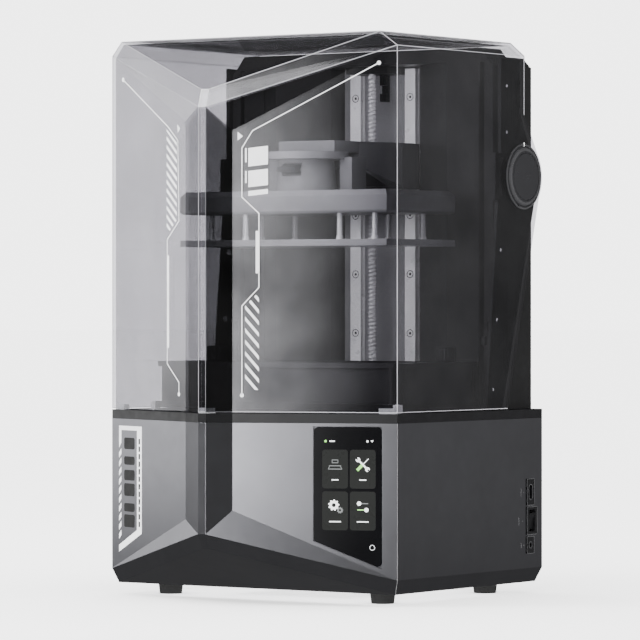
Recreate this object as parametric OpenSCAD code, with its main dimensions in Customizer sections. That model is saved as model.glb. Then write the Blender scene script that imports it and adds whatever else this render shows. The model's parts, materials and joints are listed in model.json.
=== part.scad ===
// Resin printer with a flip-up faceted cover, a lifting platform and a tilting vat.
// Millimetres. +Z is up, the front faces -Y, and the origin is under the middle of the feet.

/* [Body] */
// Width of the base and cover
body_w = 327.4; // [320:0.2:334]
// Depth from the prow to the back
body_d = 329.2; // [324:0.2:334]
// Height of the closed cover above the ground
body_h = 526.5; // [524:0.5:530]
// Height of the seam between base and cover
seam_z = 176.3; // [175:0.1:178]
// How far the prow stands in front of the two front corners
prow_out = 78.6; // [72:0.2:84]
// Width of the narrow flat strip on the prow
strip_w = 8.5; // [6:0.5:10]
// Height of the feet
foot_h = 11; // [10:0.5:12]
// Wall of the base shell
base_wall = 3; // [2.5:0.1:3.5]
// Wall of the clear cover
cover_wall = 3; // [2.5:0.1:3.2]

/* [Cover hinge] */
// Distance of the hinge axis behind the middle
pivot_y = 131; // [130:0.5:132]
// Height of the hinge axis
pivot_z = 398.2; // [396:0.2:400]
// Radius of the pivot disc
disc_r = 31.6; // [30:0.2:31.8]

/* [Lift] */
// Height of the underside of the build plate
plate_z = 331.5; // [325:0.5:340]
// Width of the build plate
plate_w = 238; // [230:1:242]
// Depth of the build plate
plate_d = 117; // [112:1:119]
// Diameter of the lifting screw
screw_d = 8; // [8:1:10]
// Distance between the two guide rails
rail_gap = 64; // [60:1:68]

/* [Vat] */
// Outside width of the vat
vat_w = 288; // [286:1:290]
// Outside depth of the vat
vat_d = 142; // [140:1:144]
// Height of the vat rim above the deck
vat_h = 42; // [38:1:44]

/* [Hidden] */
$fn = 64;

// A small overlap that keeps joined faces from coinciding
e = 0.01;
hw = body_w / 2;
hd = body_d / 2;
corner_y = -hd + prow_out;
hs = strip_w / 2;

// Plan of the envelope, counter-clockwise from the front left corner seen from above
ridge_l = [-34.4, -hd + 21.6];
ridge_r = [22.2, -hd + 17.3];
plan = [[-hw, corner_y], ridge_l, [-hs, -hd], [hs, -hd], ridge_r,
    [hw, corner_y], [hw, hd], [-hw, hd]];

// Heights of the eave line at each point of the plan, on top of the cover
eave_drop = 13.2;
eave = [body_h - eave_drop, 446.5, 458.2, 458.2, 436.5,
    body_h - eave_drop, body_h - eave_drop, body_h - eave_drop];
// Heights of the lower break line at each point of the plan, under the base
keel = [24.5, 77, 65.4, 65.4, 87, 24.5, 24.5, 24.5];

// Upper ring of the roof: six points
roof_inset = 15.7;
roof_front = corner_y - 5.8;
prow_top_z = 474.5;
prow_low_z = 51.4;
belly_inset = 5.1;
// This far behind the front corners the bands beside the prow's lower end lie flat
belly_back = 4.4;

rim_h = 8.6;
rim_z = seam_z - rim_h;
gap = 1;
cover_z = seam_z + gap;
floor_z = foot_h + 2;

// Tower behind the vat
tower_hw = 152;
tower_front = 95;
tower_back_y = hd - 1;
cap_h = 6;
tower_top = 513;
cap_z = tower_top - cap_h;
cap_rise_low = 146;
cap_rise_high = 138;
tower_wall = 2.5;
niche_hw = 52.4;
niche_front = 121;
niche_back = 150;
groove = [137.5, 142.5];
tower_plan = [[-tower_hw, tower_back_y], [-tower_hw, tower_front],
    [-groove[1], tower_front], [-groove[1], tower_front + 6],
    [-groove[0], tower_front + 6], [-groove[0], tower_front], [-100, tower_front],
    [-niche_hw, niche_front], [-niche_hw, niche_back], [niche_hw, niche_back],
    [niche_hw, niche_front], [100, tower_front], [groove[0], tower_front],
    [groove[0], tower_front + 6], [groove[1], tower_front + 6],
    [groove[1], tower_front], [tower_hw, tower_front], [tower_hw, tower_back_y]];

// Column with its rails and the lifting screw
rail_y = 138;
column_y = 142;
rail_low = 190;
rail_top = 505.5;
rail_screw_z = [for (i = [0 : 4]) 478 - 57.4 * i];
screw_y = 116;
motor_top = seam_z - 30;

side_in = hw - cover_wall;
arm_t = 3.6;
arm_x = side_in - arm_t;

// Platform and the head that carries it
platform_y = 21.5;
mount_y = 4;
block_z = plate_z + 30.7;
block_h = 21.6;
head_z = block_z + block_h;
mount_top = 414;
bracket_z = 388;
bracket_top = 432;

deck_t = 3;
vat_y = 21;
vat_z = seam_z + 1.7;
cradle_t = 6;
vat_floor = vat_z + cradle_t;
vat_rim = seam_z + vat_h + 3.7;
cavity_w = 250;
cavity_d = 130;
window_w = 214;
window_d = 122;
panel_lift = 6.9;
knob_x = 133;
knob_y = 42;

screen_along = 108;
screen_mid_z = 99.7;
screen_w = 63.4;
screen_h = 129.2;
usb_at = [142.7, 97.2];
switch_at = [145.3, 69.8];
inlet_at = [142.5, 46.6];
foot_at = [[-122, -48], [122, -48], [-122, 128], [122, 128]];
face_r = [plan[4], plan[5]];
face_turn = atan2(face_r[1][1] - face_r[0][1], face_r[1][0] - face_r[0][0]);

black = [0.05, 0.05, 0.055];
dark = [0.13, 0.13, 0.14];
gun = [0.33, 0.33, 0.36];
silver = [0.75, 0.75, 0.77];

// Unit normal of the edge from a to b, pointing outward for a ring that runs
// counter-clockwise seen from above
function out_normal(a, b) = let (d = b - a, l = norm(d)) [d[1] / l, -d[0] / l];

// A plan moved inward by w, with mitred corners
function inset_plan(p, w) = let (n = len(p)) [for (i = [0 : n - 1])
    let (n1 = out_normal(p[(i + n - 1) % n], p[i]), n2 = out_normal(p[i], p[(i + 1) % n]))
    p[i] - (n1 + n2) * w / (1 + n1 * n2)];

function ring(p, z) = [for (i = [0 : len(p) - 1]) [p[i][0], p[i][1], z[i]]];

// Solid with the faceted roof: straight ring at z0, eave ring, roof ring.
// w moves every wall inward and the roof down by w.
module roof_solid(w, z0, back) {
    p0 = inset_plan(plan, w);
    p = [for (i = [0 : 7]) i < 6 ? p0[i] : [p0[i][0], back]];
    x = hw - roof_inset - w * 0.6;
    lift = w * 1.15;
    top_z = body_h - w;
    low = ring(p, [for (i = [0 : 7]) z0]);
    mid = ring(p, [for (i = [0 : 7]) eave[i] - w * 0.7]);
    up = [[-x, roof_front + w * 0.4, top_z], [-hs, p[2][1] + 5, prow_top_z - lift],
        [hs, p[3][1] + 5, prow_top_z - lift], [x, roof_front + w * 0.4, top_z],
        [x, back, top_z], [-x, back, top_z]];
    polyhedron(concat(low, mid, up), [
        [0, 1, 2, 3, 4, 5, 6, 7],
        [8, 9, 1, 0], [9, 10, 2, 1], [10, 11, 3, 2], [11, 12, 4, 3], [12, 13, 5, 4],
        [13, 14, 6, 5], [15, 8, 0, 7], [14, 15, 7, 6],
        [10, 9, 8], [13, 12, 11],
        [17, 10, 8], [16, 17, 8], [18, 11, 10, 17], [13, 11, 18], [13, 18, 19],
        [14, 13, 19, 20], [21, 16, 8, 15], [20, 21, 15, 14],
        [21, 20, 19, 16], [19, 18, 17, 16]], convexity = 6);
}

// Solid with the faceted belly: ring at z1, keel ring, bottom ring.
module belly_solid(w, z1, bottom) {
    p = inset_plan(plan, w);
    x = hw - belly_inset - w;
    up = ring(p, [for (i = [0 : 7]) z1]);
    mid = ring(p, [for (i = [0 : 7]) keel[i] + w * 0.6]);
    low = [[-x, corner_y + belly_back + w, bottom], [-hs, p[2][1] + 6.5, prow_low_z + w * 1.15],
        [hs, p[3][1] + 6.5, prow_low_z + w * 1.15], [x, corner_y + belly_back + w, bottom],
        [x, hd - belly_inset - w, bottom], [-x, hd - belly_inset - w, bottom]];
    polyhedron(concat(up, mid, low), [
        [7, 6, 5, 4, 3, 2, 1, 0],
        [0, 1, 9, 8], [1, 2, 10, 9], [2, 3, 11, 10], [3, 4, 12, 11], [4, 5, 13, 12],
        [5, 6, 14, 13], [7, 0, 8, 15], [6, 7, 15, 14],
        [8, 9, 10], [11, 12, 13],
        [8, 10, 17], [8, 17, 16], [17, 10, 11, 18], [18, 11, 13], [19, 18, 13],
        [20, 19, 13, 14], [15, 8, 16, 21], [14, 15, 21, 20],
        [16, 17, 18, 19], [16, 19, 20, 21]], convexity = 6);
}

// A box given by its low and high corners
module span(a, b) {
    translate(a) cube(b - a);
}

// A round bar along X, Y or Z
module bar_x(r, x0, x1) {
    translate([x0, 0, 0]) rotate([0, 90, 0]) cylinder(r = r, h = x1 - x0);
}

module bar_y(r, y0, y1) {
    translate([0, y0, 0]) rotate([-90, 0, 0]) cylinder(r = r, h = y1 - y0);
}

// Places children on the right front face: X along the face, Y up, Z outward
module on_face(along, z) {
    translate([face_r[0][0], face_r[0][1], z]) rotate([0, 0, face_turn])
        translate([along, 0, 0]) rotate([90, 0, 0]) children();
}

// Four corner positions of a rectangle
function corners(x, y) = [for (i = [-1, 1], j = [-1, 1]) [i * x, j * y]];

// ---- Base ----

module plan_slab(p, z0, z1) {
    translate([0, 0, z0]) linear_extrude(z1 - z0) polygon(p);
}

// Glass outline: its lower edge follows the crease of the belly
module screen_outline(grow) {
    w = screen_w / 2 + grow;
    h = screen_h / 2 + grow;
    polygon([[-w, h], [-w, -h + 25], [w, -h], [w, h]]);
}

module base_shell() color(gun) difference() {
    belly_solid(0, rim_z, foot_h);
    belly_solid(base_wall, rim_z + e, floor_z);
    span([-150, -76, foot_h - 1], [150, 150, floor_z + 1]);
    span([hw - 8, usb_at[0] - 3.4, usb_at[1] - 7.4], [hw + 2, usb_at[0] + 3.4, usb_at[1] + 7.4]);
    span([hw - 8, switch_at[0] - 7.2, switch_at[1] - 12],
        [hw + 2, switch_at[0] + 7.2, switch_at[1] + 12]);
    translate([0, inlet_at[0], inlet_at[1]]) bar_x(5.1, hw - 8, hw + 2);
    on_face(screen_along, screen_mid_z) translate([0, 0, -1.7]) linear_extrude(4)
        screen_outline(0.2);
    on_face(screen_along, screen_mid_z) span([-27.5, -36, -8], [27.5, 56, 4]);
    span([-70, hd - 8, 50], [70, hd + 2, 130]);
}

module base_rim() color(black) difference() {
    plan_slab(plan, rim_z, seam_z);
    plan_slab(inset_plan(plan, 6), rim_z - 1, seam_z + 1);
}

module deck_plate() color(dark) difference() {
    plan_slab(inset_plan(plan, 6), seam_z - deck_t, seam_z);
    span([-window_w / 2, vat_y - window_d / 2, 0], [window_w / 2, vat_y + window_d / 2, 300]);
    translate([0, screw_y, 0]) cylinder(r = 11, h = 300);
}

module bottom_plate() color(silver) difference() {
    span([-149.7, -75.7, foot_h], [149.7, 149.7, floor_z]);
    for (x = [-60 : 12 : 60]) span([x - 2.5, -20, 0], [x + 2.5, 60, 20]);
    for (c = foot_at) translate([c[0], c[1], 0]) cylinder(r = 1.6, h = 30);
}

module feet() color(black) for (c = foot_at) translate([c[0], c[1], 0]) difference() {
    cylinder(r1 = 10.6, r2 = 12, h = foot_h);
    translate([0, 0, -1]) cylinder(r = 3.6, h = 6);
    cylinder(r = 1.6, h = 20);
}

module foot_screws() color(silver) for (c = foot_at) translate([c[0], c[1], 0]) difference() {
    union() {
        translate([0, 0, 2.4]) cylinder(r = 3.2, h = 2.6);
        translate([0, 0, 4]) cylinder(r = 1.55, h = 12);
    }
    translate([0, 0, 2]) cylinder(r = 1.4, h = 2, $fn = 6);
}

module exposure_panel() color([0.04, 0.04, 0.07])
    span([-window_w / 2 + 0.3, vat_y - window_d / 2 + 0.3, seam_z - 4],
        [window_w / 2 - 0.3, vat_y + window_d / 2 - 0.3, seam_z + panel_lift]);

module lens_sheet() color([0.7, 0.8, 0.85])
    span([-window_w / 2 + 2, vat_y - window_d / 2 + 2, seam_z - 8],
        [window_w / 2 - 2, vat_y + window_d / 2 - 2, seam_z - 6]);

light_low = 92;
module light_box() color(black) translate([0, vat_y, 0]) difference() {
    hull() {
        span([-window_w / 2 - 2, -window_d / 2 - 2, seam_z - 14],
            [window_w / 2 + 2, window_d / 2 + 2, seam_z - deck_t]);
        span([-44, -36, light_low], [44, 36, light_low + 2]);
    }
    hull() {
        span([-window_w / 2 + 1.5, -window_d / 2 + 1.5, seam_z - 14],
            [window_w / 2 - 1.5, window_d / 2 - 1.5, seam_z]);
        span([-41, -33, light_low + 3], [41, 33, light_low + 4]);
    }
    span([-38, -30, light_low - 1], [38, 30, light_low + 5]);
    span([-window_w / 2 - 0.5, -window_d / 2 - 0.5, seam_z - 4.5],
        [window_w / 2 + 0.5, window_d / 2 + 0.5, seam_z]);
}

module led_board() color([0.1, 0.35, 0.15]) translate([0, vat_y, 0]) {
    span([-37, -29, light_low], [37, 29, light_low + 1.6]);
    for (x = [-20 : 10 : 20], y = [-14 : 14 : 14]) translate([x, y, light_low + 1.5])
        cylinder(r = 2.4, h = 1.6);
}

module heat_sink() color(silver) translate([0, vat_y, 0]) {
    span([-42, -34, light_low - 6], [42, 34, light_low]);
    for (x = [-40 : 5 : 40]) span([x - 0.8, -34, light_low - 24], [x + 0.8, 34, light_low - 5.9]);
}

fan_z = light_low - 40;
module fan_frame() color(black) translate([0, vat_y, fan_z]) {
    difference() {
        span([-40, -40, 0], [40, 40, 15.9]);
        translate([0, 0, -1]) cylinder(r = 37.5, h = 18);
        for (c = corners(35.7, 35.7)) translate([c[0], c[1], -1]) cylinder(r = 2.1, h = 18);
    }
    difference() {
        union() {
            translate([0, 0, 0.3]) cylinder(r = 15, h = 1.7);
            for (a = [45 : 90 : 315]) rotate([0, 0, a]) span([12, -2, 0.5], [41, 2, 1.8]);
        }
        translate([0, 0, -1]) cylinder(r = 2.05, h = 4);
    }
}

module fan_rotor() color(dark) translate([0, vat_y, fan_z]) {
    translate([0, 0, 2.6]) cylinder(r = 16, h = 11);
    translate([0, 0, 0.2]) cylinder(r = 2, h = 4);
    for (a = [0 : 60 : 300]) rotate([0, 0, a]) translate([15, 0, 8]) rotate([35, 0, 0])
        span([0, -6, -0.7], [20, 6, 0.7]);
}

module mainboard() color([0.08, 0.3, 0.2]) {
    difference() {
        span([64, -40, 30], [144, 60, 31.6]);
        for (c = corners(36, 46)) translate([104 + c[0], 10 + c[1], 20]) cylinder(r = 1.7, h = 20);
    }
    span([88, -10, 31.5], [118, 20, 34]);
    span([70, -32, 31.5], [86, -20, 42]);
    for (y = [-30 : 18 : 42]) span([130, y, 31.5], [138, y + 12, 38]);
}

module board_posts() color(silver) for (c = corners(36, 46)) translate([104 + c[0], 10 + c[1], 0])
    difference() {
        translate([0, 0, floor_z]) cylinder(r = 3, h = 30 - floor_z);
        translate([0, 0, floor_z + 4]) cylinder(r = 1.25, h = 30);
    }

module rear_vent() color(black) difference() {
    span([-69.7, hd - 3, 50.3], [69.7, hd - 0.5, 129.7]);
    for (z = [58 : 8 : 122], x = [-34, 34]) span([x - 30, hd - 6, z - 2.2], [x + 30, hd + 1, z + 2.2]);
}

module screen_glass() color([0.02, 0.02, 0.025]) on_face(screen_along, screen_mid_z)
    translate([0, 0, -1.6]) linear_extrude(1.7) offset(4, $fn = 48) offset(-4) screen_outline(-0.1);

module screen_module() color(dark) on_face(screen_along, screen_mid_z)
    span([-27, -35, -7.5], [27, 55, -1.7]);

module usb_port() color(black) difference() {
    union() {
        span([hw - 16, usb_at[0] - 3.3, usb_at[1] - 7.3], [hw, usb_at[0] + 3.3, usb_at[1] + 7.3]);
        span([hw, usb_at[0] - 6.7, usb_at[1] - 12.7], [hw + 0.8, usb_at[0] + 6.7, usb_at[1] + 12.7]);
    }
    difference() {
        span([hw - 13, usb_at[0] - 2.6, usb_at[1] - 6.6], [hw + 2, usb_at[0] + 2.6, usb_at[1] + 6.6]);
        span([hw - 14, usb_at[0] - 2.2, usb_at[1] - 5.6], [hw - 2, usb_at[0] - 0.3, usb_at[1] + 5.6]);
    }
}

rocker_x = hw - 5.5;
module switch_body() color(black) difference() {
    union() {
        span([hw - 22, switch_at[0] - 7.1, switch_at[1] - 11.9],
            [hw, switch_at[0] + 7.1, switch_at[1] + 11.9]);
        span([hw, switch_at[0] - 9.3, switch_at[1] - 13.4],
            [hw + 0.8, switch_at[0] + 9.3, switch_at[1] + 13.4]);
    }
    span([hw - 19, switch_at[0] - 5.4, switch_at[1] - 10.4],
        [hw + 2, switch_at[0] + 5.4, switch_at[1] + 10.4]);
    translate([rocker_x, 0, switch_at[1]]) bar_y(1.6, switch_at[0] - 6.6, switch_at[0] + 6.6);
}

module switch_rocker() color(dark) translate([rocker_x, switch_at[0], switch_at[1]]) {
    bar_y(1.55, -6.5, 6.5);
    translate([0, 5, 0]) rotate([90, 0, 0]) linear_extrude(10)
        polygon([[-4, -3], [-4, 3], [2, 8.6], [6.9, 7.2], [4.6, 0], [3.4, -8.9], [0, -8.6]]);
}

module power_inlet() color(black) translate([0, inlet_at[0], inlet_at[1]]) difference() {
    union() {
        bar_x(5, hw - 18, hw);
        span([hw, -6.5, -8.3], [hw + 0.8, 6.5, 8.3]);
    }
    difference() {
        bar_x(2.75, hw - 16, hw + 2);
        bar_x(1, hw - 17, hw - 2);
    }
}

// ---- Tower and lift ----

// Cuts along the two long top edges of the tower
module top_chamfers() for (s = [-1, 1])
    translate([s * tower_hw, 120, tower_top]) rotate([0, s * 48, 0])
        cube([13.4, 300, 13.4], center = true);

module tower_shell() color(dark) difference() {
    plan_slab(tower_plan, seam_z, cap_z);
    plan_slab(inset_plan(tower_plan, tower_wall), seam_z - 1, cap_z - 8);
    span([-tower_hw + 8, tower_back_y - 8, seam_z + 6], [tower_hw - 8, hd, cap_z - 14]);
    top_chamfers();
    translate([0, pivot_y, pivot_z]) bar_x(8, -hw, hw);
}

// The cap's front part rises under the cover's roof, clear of its swing
module tower_cap() color(dark) {
    difference() {
        span([-tower_hw, tower_front, cap_z], [tower_hw, tower_back_y, tower_top]);
        top_chamfers();
    }
    translate([0, pivot_y, 0]) rotate([90, 0, 0]) linear_extrude(pivot_y - tower_front)
        polygon([[-cap_rise_low, cap_z + 1], [cap_rise_low, cap_z + 1],
            [cap_rise_low, tower_top - 3], [cap_rise_high, body_h - 6],
            [-cap_rise_high, body_h - 6], [-cap_rise_low, tower_top - 3]]);
}

module tower_back() color(black) difference() {
    span([-tower_hw + 8.3, tower_back_y - 2.5, seam_z + 6.3],
        [tower_hw - 8.3, tower_back_y, cap_z - 14.3]);
    for (z = [230 : 9 : 320]) span([-60, hd - 8, z - 1.8], [60, hd, z + 1.8]);
}

module side_panels() color(dark) for (s = [-1, 1])
    span([s * 125 - 12, tower_front - 1.2, seam_z + 8], [s * 125 + 12, tower_front, 486]);

module hinge_brackets() color(silver) for (s = [-1, 1]) difference() {
    span([s * 147.3 - 2, pivot_y - 24, pivot_z - 30], [s * 147.3 + 2, pivot_y + 24, pivot_z + 30]);
    translate([0, pivot_y, pivot_z]) bar_x(8, -hw, hw);
}

module hinge_pins() color(silver) for (s = [-1, 1]) translate([0, pivot_y, pivot_z]) {
    bar_x(8, s * 151.7 - 9.7, s * 151.7 + 9.7);
    bar_x(11, s * 143.3 - 1.9, s * 143.3 + 1.9);
}

module column() color(silver) difference() {
    span([-50, column_y, seam_z], [50, niche_back, cap_z]);
    for (x = [-1, 1], z = rail_screw_z)
        translate([x * rail_gap / 2, 0, z]) bar_y(2, column_y - 1, niche_back + 1);
}

module rails() color(silver) for (x = [-1, 1]) translate([x * rail_gap / 2, 0, 0]) difference() {
    translate([0, rail_y, rail_low]) linear_extrude(rail_top - rail_low)
        polygon([[-6, 4], [-6, 2.6], [-5, 1.6], [-5, -1], [-6, -2], [-6, -4],
            [6, -4], [6, -2], [5, -1], [5, 1.6], [6, 2.6], [6, 4]]);
    for (z = rail_screw_z) translate([0, 0, z]) {
        bar_y(2, rail_y - 5, rail_y + 5);
        bar_y(3.4, rail_y - 5, rail_y - 0.5);
    }
}

module rail_screws() color(silver) for (x = [-1, 1], z = rail_screw_z)
    translate([x * rail_gap / 2, 0, z]) difference() {
        union() {
            bar_y(3.1, rail_y - 3.8, rail_y - 0.5);
            bar_y(1.95, rail_y - 1, rail_y + 11);
        }
        translate([0, rail_y - 4, 0]) rotate([-90, 30, 0]) cylinder(r = 1.6, h = 2, $fn = 6);
    }

module lift_motor() color(black) translate([0, screw_y, 0]) difference() {
    union() {
        span([-21, -21, motor_top - 40], [21, 21, motor_top]);
        translate([0, 0, motor_top - 1]) cylinder(r = 10.5, h = 3);
    }
    translate([0, 0, motor_top - 30]) cylinder(r = 2.55, h = 60);
}

module motor_coupling() color(silver) translate([0, screw_y, 0]) {
    difference() {
        translate([0, 0, motor_top + 4]) cylinder(r = 9, h = 24);
        for (z = [8 : 4 : 20]) translate([0, 0, motor_top + z]) difference() {
            cylinder(r = 10, h = 0.8);
            translate([0, 0, -1]) cylinder(r = 6.5, h = 3);
        }
    }
    translate([0, 0, motor_top - 28]) cylinder(r = 2.5, h = 33);
}

// The thread is a row of close rings, one at each pitch
thread_pitch = 4;
module lift_screw() color(silver) translate([0, screw_y, 0]) {
    translate([0, 0, motor_top + 28]) cylinder(d = screw_d - 1.2, h = rail_top - 6 - motor_top - 28);
    translate([0, 0, motor_top + 28]) cylinder(d = screw_d, h = 30);
    translate([0, 0, rail_top - 14]) cylinder(d = screw_d, h = 8);
    translate([0, 0, rail_top - 7]) cylinder(d = screw_d - 2, h = 6);
    for (z = [210 : thread_pitch : rail_top - 20]) translate([0, 0, z])
        cylinder(d = screw_d, h = thread_pitch / 2);
}

module top_bearing() color(dark) difference() {
    span([-24, screw_y - 10, rail_top - 5.5], [24, column_y, cap_z]);
    translate([0, screw_y, rail_top - 10]) cylinder(d = screw_d - 1.9, h = 30);
}

module limit_sensor() color(black) difference() {
    span([-4, column_y - 7, 474], [3, column_y, 500]);
    span([-5, column_y - 8, 482], [4, column_y - 3, 490]);
}

module chamber_camera() color(black) difference() {
    union() {
        span([-134, tower_front - 10, 487], [-112, tower_front, 505]);
        translate([-123, 0, 496]) bar_y(7, tower_front - 13, tower_front - 9);
    }
    translate([-123, 0, 496]) bar_y(4.5, tower_front - 15, tower_front - 12);
}

module cover_stop() color(black) for (s = [-1, 1]) {
    span([s * 148 - 2, tower_front - 7, 222], [s * 148 + 2, tower_front, 260]);
    span([s * 148 - 2, tower_front - 11, 238], [s * 148 + 2, tower_front - 6.9, 246]);
}

block_span = 34;
module carriage_blocks() color(silver) for (x = [-1, 1])
    translate([x * rail_gap / 2, 0, bracket_z + 4]) difference() {
        span([-13.5, rail_y - 9, 0], [13.5, rail_y + 3.5, block_span]);
        span([-6.3, rail_y - 4.3, -1], [6.3, rail_y + 5, block_span + 1]);
    }

module carriage_bracket() color(dark) difference() {
    union() {
        span([-46, 101, bracket_z], [46, rail_y - 9, bracket_top]);
        hull() {
            span([-46, 99, bracket_z + 2], [46, 103, bracket_top]);
            span([-32, 46, bracket_z + 20], [32, 48, bracket_top]);
        }
        span([-32, mount_y, mount_top + 7], [32, 48, bracket_top]);
    }
    translate([0, screw_y, 0]) cylinder(r = 7, h = 600);
    translate([0, screw_y, bracket_z - 1]) cylinder(r = 11.3, h = 7);
    span([-30, 52, bracket_z - 1], [30, 97, bracket_top - 4]);
}

module lift_nut() color([0.75, 0.6, 0.3]) translate([0, screw_y, bracket_z - 10]) difference() {
    union() {
        cylinder(r = 6.8, h = 28);
        translate([0, 0, 11]) cylinder(r = 11, h = 4.9);
    }
    translate([0, 0, -1]) cylinder(d = screw_d + 0.6, h = 40);
}

// ---- Platform ----

lever_z = 404;
lever_y = mount_y - 24;
module mount_body() color(dark) difference() {
    union() {
        translate([0, mount_y, head_z]) cylinder(r1 = 29, r2 = 26, h = mount_top - head_z);
        translate([0, mount_y, mount_top]) cylinder(r = 40, h = 7);
        span([-48, mount_y + 6, head_z], [-34, mount_y + 30, mount_top + 2]);
        span([34, mount_y + 6, head_z], [48, mount_y + 30, mount_top + 2]);
    }
    difference() {
        span([-11, mount_y - 40, lever_z - 6], [11, lever_y + 6, lever_z + 6]);
        translate([0, lever_y, lever_z]) bar_x(1.5, -14, 14);
    }
}

module release_lever() color(black) translate([0, lever_y, lever_z]) difference() {
    union() {
        bar_x(4, -10.5, 10.5);
        span([-10.5, -10, -2.5], [10.5, 0, 2.5]);
    }
    bar_x(1.55, -12, 12);
}

pin_at = [for (x = [-94, -54.4, 54.4, 94], y = [-41, 41]) [x, y + platform_y]];

module platform_block() color(gun) difference() {
    hull() {
        span([-plate_w / 2 + 4, platform_y - plate_d / 2 + 4, head_z - 3],
            [plate_w / 2 - 4, platform_y + plate_d / 2 - 4, head_z]);
        span([-plate_w / 2, platform_y - plate_d / 2, block_z + 2],
            [plate_w / 2, platform_y + plate_d / 2, head_z - 5]);
        span([-plate_w / 2 + 2, platform_y - plate_d / 2 + 2, block_z],
            [plate_w / 2 - 2, platform_y + plate_d / 2 - 2, block_z + 4]);
    }
    for (c = pin_at) translate([c[0], c[1], block_z - 1]) cylinder(r = 2.3, h = 12);
}

module sprung_pins() color(silver) for (c = pin_at) translate([c[0], c[1], plate_z + 6]) {
    cylinder(r = 2.2, h = 31);
    cylinder(r = 3.4, h = 3);
}

module pin_springs() color([0.7, 0.7, 0.72]) for (c = pin_at)
    translate([c[0], c[1], plate_z + 9]) difference() {
        cylinder(r = 3.2, h = 21.7);
        translate([0, 0, -1]) cylinder(r = 2.4, h = 30);
    }

module build_plate() color([0.5, 0.5, 0.52])
    span([-plate_w / 2, platform_y - plate_d / 2, plate_z],
        [plate_w / 2, platform_y + plate_d / 2, plate_z + 6]);

// ---- Vat ----

cradle_pin_y = vat_y - 70;
cradle_pin_z = vat_z + 4;
module cradle() color(black) difference() {
    span([-137, vat_y - 74, vat_z], [137, vat_y + 70, vat_z + cradle_t]);
    span([-cavity_w / 2, vat_y - cavity_d / 2, 0], [cavity_w / 2, vat_y + cavity_d / 2, 300]);
    for (s = [-1, 1]) translate([0, cradle_pin_y, cradle_pin_z]) bar_x(2.05, s * 128 - 10, s * 128 + 10);
    for (s = [-1, 1]) translate([s * knob_x, knob_y, 0]) cylinder(r = 3.08, h = 300);
}

module cradle_pins() color(silver) for (s = [-1, 1]) {
    translate([0, cradle_pin_y, cradle_pin_z]) bar_x(2, s * 131.5 - 9.5, s * 131.5 + 9.5);
    span([s * 139.5 - 2, cradle_pin_y - 5, seam_z], [s * 139.5 + 2, cradle_pin_y + 5, vat_z + 5.5]);
}

module vat_outline(w, d, r) {
    offset(r, $fn = 48) square([w - 2 * r, d - 2 * r], center = true);
}

module vat_tub() color(dark) translate([0, vat_y, 0]) difference() {
    union() {
        translate([0, 0, vat_floor]) linear_extrude(vat_rim - vat_floor - 4)
            vat_outline(vat_w - 8, vat_d - 6, 13);
        translate([0, 0, vat_rim - 5]) linear_extrude(5) vat_outline(vat_w, vat_d, 16);
    }
    translate([0, 0, vat_floor - 1]) linear_extrude(80) vat_outline(cavity_w, cavity_d, 8);
    for (s = [-1, 1]) translate([s * knob_x, knob_y - vat_y, 0]) cylinder(r = 3.08, h = 600);
}

module film_frame() color(silver) translate([0, vat_y, vat_floor]) difference() {
    linear_extrude(3) vat_outline(cavity_w - 0.4, cavity_d - 0.4, 8);
    translate([0, 0, -1]) linear_extrude(5) vat_outline(cavity_w - 9, cavity_d - 9, 5);
}

module vat_film() color([0.8, 0.85, 0.9]) translate([0, vat_y, vat_floor - 0.3])
    linear_extrude(0.3) vat_outline(cavity_w - 1, cavity_d - 1, 8);

module vat_knob(s) translate([s * knob_x, knob_y, 0]) {
    translate([0, 0, vat_z + 1]) cylinder(r = 3, h = vat_rim + 2 - vat_z);
    translate([0, 0, vat_rim + 0.2]) cylinder(r = 9, h = 14);
    for (a = [0 : 30 : 330]) rotate([0, 0, a]) translate([8.6, 0, vat_rim + 2])
        cylinder(r = 1.3, h = 11, $fn = 16);
}

module knob_left() color(black) vat_knob(-1);

module knob_right() color(black) vat_knob(1);

// ---- Cover ----

cover_back = 133;
seam_back = 102.7;
flange_r = hd - pivot_y - 0.2;
back_lean = atan2(pivot_y - seam_back, pivot_z - cover_z);
back_reach = norm([pivot_y - seam_back, pivot_z - cover_z]);
// Angle below the horizontal at which the slanted back edge leaves the round ear
ear_low = asin(flange_r / back_reach) - back_lean;

// Side view of the cover as Y and Z: slanted back edge, round ear, upright upper edge
module cover_side() {
    polygon([[-hd - 5, cover_z], [seam_back, cover_z],
        [pivot_y + flange_r * cos(ear_low), pivot_z + flange_r * sin(ear_low)],
        [pivot_y + flange_r * cos(40), pivot_z + flange_r * sin(40)],
        [cover_back, pivot_z + 59], [cover_back, body_h + 5], [-hd - 5, body_h + 5]]);
    translate([pivot_y, pivot_z]) circle(r = flange_r, $fn = 96);
}

module cover_shell() color([0.55, 0.57, 0.62, 0.35]) difference() {
    roof_solid(0, cover_z, hd);
    roof_solid(cover_wall, cover_z - 1, hd + 5);
    // everything behind the side outline
    translate([-hw - 5, 0, 0]) rotate([90, 0, 90]) linear_extrude(2 * hw + 10) difference() {
        translate([seam_back - 1, cover_z - 1]) square([hd, body_h]);
        cover_side();
    }
    translate([0, pivot_y, pivot_z]) bar_x(disc_r + 0.1, -hw - 5, hw + 5);
}

function arm_screw_y(z) = z > pivot_z ? 106 : 80 + (z - cover_z) * 0.1;
arm_screw_z = [196, 262, 328, 440, 484];

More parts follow.
